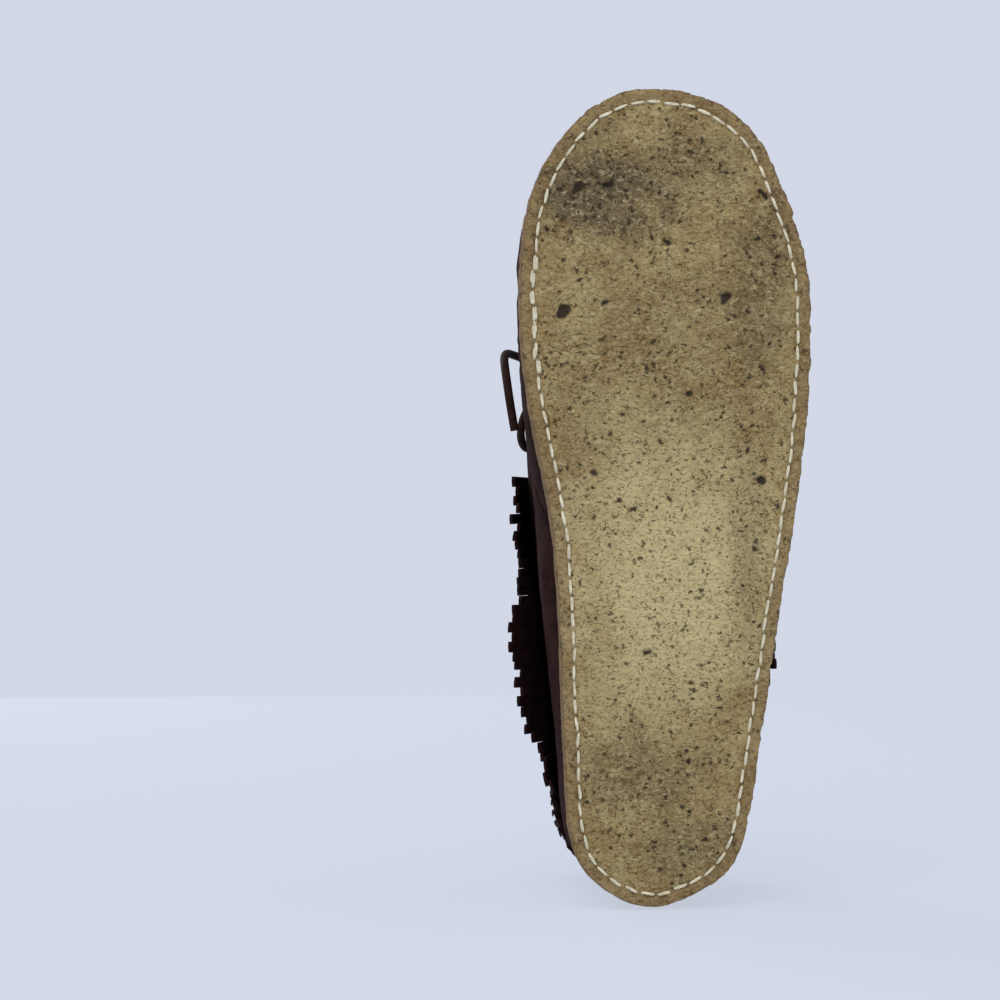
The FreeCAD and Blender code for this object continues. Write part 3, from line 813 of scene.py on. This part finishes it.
# %% Fringe strips
STRIP_PITCH = 3.05 * MM
STRIP_WIDTH = 3.04 * MM
STRIP_THICKNESS = 1.1 * MM
STRIP_ROWS = 8
REACH = 130 * MM
FAN_RADIUS = 41 * MM
FAN_CENTRE_DEPTH = 40 * MM
SKIRT_STEP = 0.4 * MM
FEWEST_PLACES = 20
STRAY_SHARE = 0.07
LAYER_GAP = 0.3 * MM
CUP_DEPTH = 0.12 * MM
TIP_FLARE = 0.07
LATERAL_TUCK = 3.2 * MM
# Tongues of the tucked side that hang loose, by millimetres along the foot.
LOOSE_TONGUES = ((7.0, 15.5), (19.0, 24.0))


def skirt_point(tree, base, out, tangent, height):
    """The outermost place of the frame's skirt at one station and height, or None."""
    hits = []
    for aside in (-0.45 * MM, 0.0, 0.45 * MM):
        start = base + out * REACH + tangent * aside + UP * height
        hit = tree.ray_cast(start, -out, REACH)[0]
        if hit is not None:
            hits.append((hit - base).dot(out))
    if not hits:
        return None
    return base + out * max(hits) + UP * height


def stations(low, high, side):
    """Places along the skirt from its front to the heel, each a base and its outward."""
    turn = high.y - FAN_CENTRE_DEPTH
    count = int((turn - low.y) / STRIP_PITCH)
    for k in range(count):
        yield Vector((0.0, low.y + (k + 0.5) * STRIP_PITCH, 0.0)), Vector((side, 0.0, 0.0))
    step = STRIP_PITCH / FAN_RADIUS
    for k in range(int(math.pi / 2 / step) + 1):
        angle = (k + 0.5) * step
        out = Vector((side * math.cos(angle), math.sin(angle), 0.0))
        yield Vector((0.0, low.y + count * STRIP_PITCH, 0.0)), out


def skirt_line(tree, base, out, low, high):
    """The skirt's places at one station, from its top down."""
    tangent = UP.cross(out)
    count = int((high.z - low.z) / SKIRT_STEP)
    heights = [high.z - SKIRT_STEP * k for k in range(count)]
    found = [skirt_point(tree, base, out, tangent, height) for height in heights]
    return [spot for spot in found if spot is not None]


def fringe(name, node, side, tuck):
    """Slits one skirt into tongues. Side is -1 medial or 1 lateral; tuck draws the tips in."""
    skirt = merged(node)
    tree = BVHTree.FromBMesh(skirt)
    low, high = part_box(node)
    bm = bmesh.new()
    for number, (base, out) in enumerate(stations(low, high, side)):
        tangent = UP.cross(out)
        layer = LAYER_GAP * (-1) ** number
        found = skirt_line(tree, base, out, low, high)
        if len(found) < FEWEST_PLACES:
            continue
        stray = random.random() < STRAY_SHARE
        held_in = tuck
        if tuck and any(low_y < base.y / MM < high_y for low_y, high_y in LOOSE_TONGUES):
            stray, held_in = True, 0.0
        length = 1.0 + random.uniform(-0.06, 0.03)
        lift = (random.uniform(0.8, 1.8) if stray else random.uniform(-0.35, 0.35)) * MM - held_in
        sway = random.uniform(-0.45, 0.45) * MM
        twist = random.uniform(-0.10, 0.10) * (2.0 if stray else 1.0)
        reach = (found[-1] - base).length
        spread = max(1.0, reach / FAN_RADIUS) if out.y > 0.01 else 1.0
        width = STRIP_WIDTH * random.uniform(1.0, 1.12) * spread
        slant = random.uniform(-0.4, 0.4) * MM
        strip = bmesh.ops.create_grid(bm, x_segments=2, y_segments=STRIP_ROWS, size=1.0)["verts"]
        for vert in strip:
            share = (1.0 - vert.co.y) / 2
            across = vert.co.x
            index = min(len(found) - 1, share * (len(found) - 1) * length)
            whole = int(index)
            spot = found[whole].lerp(found[min(whole + 1, len(found) - 1)], index - whole)
            free = smoothstep(0.15, 1.0, share)
            middle = spot + out * (lift * free * free + layer * free) + tangent * sway * free
            turned = Matrix.Rotation(twist * free, 3, UP) @ tangent
            cup = out * (CUP_DEPTH * (1.0 - across * across) * free)
            half = turned * across * width * (1.0 + TIP_FLARE * share) / 2
            vert.co = middle + half + cup + UP * slant * across * share
        random.random()  # one draw is passed over between strips
    wave = bm.faces[:]
    bmesh.ops.recalc_face_normals(bm, faces=wave)
    bmesh.ops.solidify(bm, geom=wave, thickness=STRIP_THICKNESS)
    bmesh.ops.recalc_face_normals(bm, faces=bm.faces)
    mesh = to_mesh(bm, name)
    skirt.free()
    # The strips wear the suede copy that is darkened as painted shade.
    place(name, mesh, shaded_fringe_suede, [node], slot="suede", smooth=False)
    cells = [Vector((v.co.y / STRIP_PITCH, v.co.x / STRIP_PITCH, side)) for v in mesh.vertices]
    paint_vertices(mesh, "strip", [min(1.0, abs(noise.cell(cell))) for cell in cells])


fringe("fringe_medial_strips", "fringe_medial", -1.0, 0.0)
fringe("fringe_lateral_strips", "fringe_lateral", 1.0, LATERAL_TUCK)

# %% [markdown]
# ## Inside the shoe
# The footbed dips where the heel and the ball press, and its leather is darkest there.
# The boards that never show keep the frame's shape with a board finish.

# %% Footbed and hidden boards
TREAD = ((0, 92, 26, 26, 1.0), (-4, -48, 36, 30, 0.9), (-14, -92, 14, 12, 0.7))
TREAD_DEPTH = 0.8 * MM
bed = remeshed(merged("footbed"), 1.3 * MM)
tread_values = []
for vert in bed.verts:
    pressed = ovals(vert.co, TREAD, 0.25) * smoothstep(0.2, 0.8, vert.normal.z)
    vert.co.z -= TREAD_DEPTH * pressed
    tread_values.append(pressed)
bed_mesh = to_mesh(bed, "footbed")
paint_vertices(bed_mesh, "tread", tread_values)
place("footbed_sock", bed_mesh, footbed_leather, ["footbed"], slot="footbed")
for node_name in ("midsole", "insole_board"):
    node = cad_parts[node_name]
    node.data.materials.clear()
    node.data.materials.append(board)

# %% [markdown]
# ## Eyelets
# A pressed eyelet is a rounded flange round a short tube, so its profile is spun round its
# own axis. The axis of each comes from the frame's ring.

# %% Eyelets
FLANGE_WIDTH = 1.5 * MM
FLANGE_HALF_WIDTH = 0.75 * MM
FLANGE_HALF_HEIGHT = 0.45 * MM
FLANGE_SINK = 0.35 * MM
rings = merged("eyelets")
bm = bmesh.new()
for group in islands(rings):
    middle = sum(group, Vector()) / len(group)
    out = outward_of(middle)
    spans = sorted(group, key=lambda spot: (spot - middle).length)
    far_one = spans[-1] - middle
    others = [spot - middle for spot in spans if abs((spot - middle).angle(far_one) - 1.57) < 0.3]
    axis = far_one.cross(max(others, key=lambda spot: spot.length)).normalized() if others else out
    axis = axis if axis.dot(out) > 0 else -axis
    reach = max(abs((spot - middle).dot(axis)) for spot in group)
    radius = max(((spot - middle) - axis * (spot - middle).dot(axis)).length for spot in group)
    profile = bmesh.ops.create_circle(bm, segments=10, radius=1.0)["verts"]
    inner = radius - FLANGE_WIDTH
    for vert in profile:
        from_axis = inner + FLANGE_HALF_WIDTH * (1.0 + vert.co.x)
        rise = reach - FLANGE_SINK + FLANGE_HALF_HEIGHT * vert.co.y
        vert.co = Vector((from_axis, 0.0, rise))
    turn = UP.rotation_difference(axis).to_matrix().to_4x4()
    spin_ring(bm, profile, UP, 28, Matrix.Translation(middle) @ turn)
rings.free()
closed_up(bm)
place("eyelet_rings", to_mesh(bm, "eyelets"), brass, ["eyelets"], slot="eyelet")

# %% [markdown]
# ## Lace, knot and bow
# The lace is a round leather thong. Its held run keeps the frame's route with a softer skin.
# The bow's two loops and two ends are free cords, each one open spline of its real length.
# Their routes are steps from the middle of the knot, in millimetres.

# %% Lace
LACE_DIAMETER = 2.8 * MM
LOOP_MEDIAL = [
    (-3.0, 0.0, 1.5), (-10.0, -2.5, 4.0), (-18.0, -1.5, 4.0), (-26.5, 3.0, 1.5),
    (-33.5, 7.0, -4.0),
    (-38.5, 7.0, -11.5), (-40.5, 2.0, -18.0), (-39.5, -4.5, -21.5), (-35.0, -11.0, -21.0),
    (-28.0, -13.5, -17.0),
    (-20.5, -12.0, -11.5), (-13.0, -8.0, -6.0), (-6.5, -4.0, -2.0), (-2.5, -1.5, -0.5),
]
LOOP_LATERAL = [
    (3.5, 0.2, 1.5), (10.0, -2.0, 4.0), (18.0, -0.5, 4.5), (26.0, 4.0, 2.5),
    (33.0, 8.0, -2.5),
    (38.5, 7.5, -10.0), (41.0, 2.0, -16.0), (39.5, -5.0, -19.5), (34.5, -10.0, -19.0),
    (27.5, -11.5, -15.0),
    (20.0, -10.0, -9.5), (13.0, -6.5, -4.5), (6.5, -3.0, -1.0), (3.0, -1.0, 0.0),
]
END_MEDIAL = [
    (-2.0, -2.0, -1.0), (-8.0, -8.0, -4.5), (-15.0, -13.0, -10.5), (-23.0, -17.0, -16.5),
    (-31.0, -20.5, -22.5),
    (-38.5, -22.5, -29.0), (-44.0, -24.0, -36.5), (-47.8, -24.5, -44.5), (-49.4, -22.5, -52.5),
    (-49.6, -18.0, -59.5),
    (-49.1, -11.5, -63.5), (-48.2, -4.5, -65.0), (-47.0, 2.0, -64.5),
]
END_LATERAL = [
    (2.5, -2.0, -1.0), (8.0, -8.5, -5.5), (13.5, -15.5, -12.0), (19.0, -23.0, -18.5),
    (24.0, -31.0, -24.0),
    (27.5, -40.0, -29.0), (28.5, -49.5, -33.0), (26.5, -58.5, -36.5),
]
held = remeshed(merged("lace"), 0.42 * MM)
for vert in held.verts:
    vert.co += vert.normal * 0.10 * MM * grain(vert.co, 1.8 * MM, 3.0)
place("lace_held", to_mesh(held, "lace"), lace_leather, ["lace"], slot="lace")

# %% [markdown]
# The knot is the bow's middle: three turns of thong round a hidden core, each slightly askew.

# %% Knot
CORE_HALF = (4.6, 2.7, 2.7)
THONG_RADIUS = 1.32 * MM
TURN_RADIUS = 2.35 * MM
KNOT_TURNS = ((-2.7, 0.16), (0.0, -0.05), (2.6, 0.12))
knot_low, knot_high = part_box("lace_knot")
knot_middle = (knot_low + knot_high) / 2
bm = bmesh.new()
core = bmesh.ops.create_uvsphere(bm, u_segments=20, v_segments=12, radius=1.0)["verts"]
for vert in core:
    vert.co = Vector([x * half for x, half in zip(vert.co, CORE_HALF)]) * MM + knot_middle
for offset, lean in KNOT_TURNS:
    ring = bmesh.ops.create_circle(bm, segments=12, radius=THONG_RADIUS)["verts"]
    for vert in ring:
        vert.co = Vector((vert.co.x, vert.co.y + TURN_RADIUS, 0.0))
    tilt = Matrix.Rotation(lean, 4, "Y") @ Matrix.Rotation(lean, 4, "Z")
    shift = Matrix.Translation(knot_middle + Vector((offset * MM, 0, 0)))
    spin_ring(bm, ring, (1, 0, 0), 24, shift @ tilt)
closed_up(bm)
place("bow_knot", to_mesh(bm, "bow_knot"), lace_leather, ["lace_knot"], slot="lace")


# %% Bow
def free_cord(name, node, route, length):
    """One free end or loop of the lace, as an open spline with a round section."""
    curve = bpy.data.curves.new(name, "CURVE")
    curve.dimensions = "3D"
    spline = curve.splines.new("NURBS")
    spline.points.add(len(route) - 1)
    for point, spot in zip(spline.points, route):
        point.co = (*(knot_middle + Vector(spot) * MM), 1.0)
    spline.order_u = 3
    spline.use_endpoint_u = True
    spline.resolution_u = 10
    curve.bevel_depth = LACE_DIAMETER / 2
    curve.bevel_resolution = 4
    curve.use_fill_caps = True
    curve.materials.append(lace_leather)
    piece = bpy.data.objects.new(name, curve)
    scene.collection.objects.link(piece)
    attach(piece, "shoe")
    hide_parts(node)
    print(name, "cord of", round(length / MM, 1), "mm")


free_cord("bow_loop_medial", "lace_loop_medial", LOOP_MEDIAL, 0.1081)
free_cord("bow_loop_lateral", "lace_loop_lateral", LOOP_LATERAL, 0.1046)
free_cord("bow_end_medial", "lace_end_medial", END_MEDIAL, 0.1071)
free_cord("bow_end_lateral", "lace_end_lateral", END_LATERAL, 0.0738)

# %% [markdown]
# ## Stage, light and camera
# The camera looks up at the sole from below, as when the shoe stands on its heel.
# The ground under the shoe would hide it from there, so ground and wall show one side only.

# %% Stage
BACKDROP = (0.645, 0.685, 0.790)
GROUND_HALF = 3.0
GROUND_GLOW = 0.4
HEEL_WALL_HALF = 1.1
HEEL_WALL_GLOW = 0.8


def one_sided(name, share):
    """A pale matt surface that can't be seen from behind. Its own glow takes the given share,
    so that shadows on it stay faint."""
    paint = Paint(name, Specular_IOR_Level=0.0, Roughness=1.0, Emission_Strength=share)
    paint.shader.inputs["Base Color"].default_value = opaque([x * (1.0 - share) for x in BACKDROP])
    paint.shader.inputs["Emission Color"].default_value = opaque(BACKDROP)
    behind = paint.add("ShaderNodeNewGeometry", {}, {}, "Backfacing")
    clear = paint.add("ShaderNodeBsdfTransparent", {}, {})
    front = Wire(paint, paint.shader.outputs[0])
    both = paint.add("ShaderNodeMixShader", {}, {0: behind, 1: front, 2: clear})
    paint.tree.links.new(both.socket, paint.tree.nodes["Material Output"].inputs["Surface"])
    return paint.material


def stage_plane(name, matrix, size, glow):
    bm = bmesh.new()
    bmesh.ops.create_grid(bm, x_segments=1, y_segments=1, size=size, matrix=matrix)
    plane = bpy.data.objects.new(name, to_mesh(bm, name))
    scene.collection.objects.link(plane)
    plane.data.materials.append(one_sided(name, glow))
    plane.visible_diffuse = False
    plane.visible_glossy = False
    plane.visible_transmission = False
    plane.visible_shadow = False


stage_plane("ground", Matrix.Translation((0, 0, -0.5 * MM)), GROUND_HALF, GROUND_GLOW)
behind_heel = Matrix.Translation((0, cad_high.y + 1.0 * MM, -0.1))
upright = Matrix.Rotation(math.pi / 2, 4, "X")
stage_plane("heel_ground", behind_heel @ upright, HEEL_WALL_HALF, HEEL_WALL_GLOW)

world = bpy.data.worlds.new("Studio")
world.use_nodes = True
world.node_tree.nodes["Background"].inputs["Color"].default_value = opaque(BACKDROP)
scene.world = world


def area_light(name, spot, target, size, power):
    lamp = bpy.data.lights.new(name, "AREA")
    lamp.shape = "DISK"
    lamp.size = size
    lamp.energy = power
    piece = bpy.data.objects.new(name, lamp)
    scene.collection.objects.link(piece)
    piece.location = spot
    piece.rotation_euler = (Vector(target) - Vector(spot)).to_track_quat("-Z", "Y").to_euler()


area_light("below_key", (-0.35, -0.95, -0.75), (0, 0, 0), 0.9, 6.2)
area_light("below_fill", (0.6, 0.3, -1.1), (0, 0, 0), 1.0, 2.0)
area_light("above_key", (-0.7, -0.6, 1.2), (0, 0, 0.05), 0.7, 8.0)
area_light("above_fill", (0.9, 0.6, 0.9), (0, 0, 0.05), 1.0, 4.0)

# %% [markdown]
# The camera stands off to the big toe's side, so that wall and fringe show past the sole.

# %% Camera
CAMERA_AWAY = 0.9
CAMERA_TILT = math.radians(5.5)
VIEW_WIDTH = 0.3186
SENSOR_WIDTH = 36.0
AIM = Vector((-0.0540, 0.0006, 0.0))
sight = Vector((math.sin(CAMERA_TILT), 0.0, math.cos(CAMERA_TILT)))
right = Vector((math.cos(CAMERA_TILT), 0.0, -math.sin(CAMERA_TILT)))
lens = bpy.data.cameras.new("Camera")
lens.sensor_width = SENSOR_WIDTH
lens.lens = SENSOR_WIDTH * CAMERA_AWAY / VIEW_WIDTH
camera = bpy.data.objects.new("Camera", lens)
scene.collection.objects.link(camera)
turned = Matrix((right, (0.0, -1.0, 0.0), -sight)).transposed().to_4x4()
camera.matrix_world = Matrix.Translation(AIM - sight * CAMERA_AWAY) @ turned
scene.camera = camera
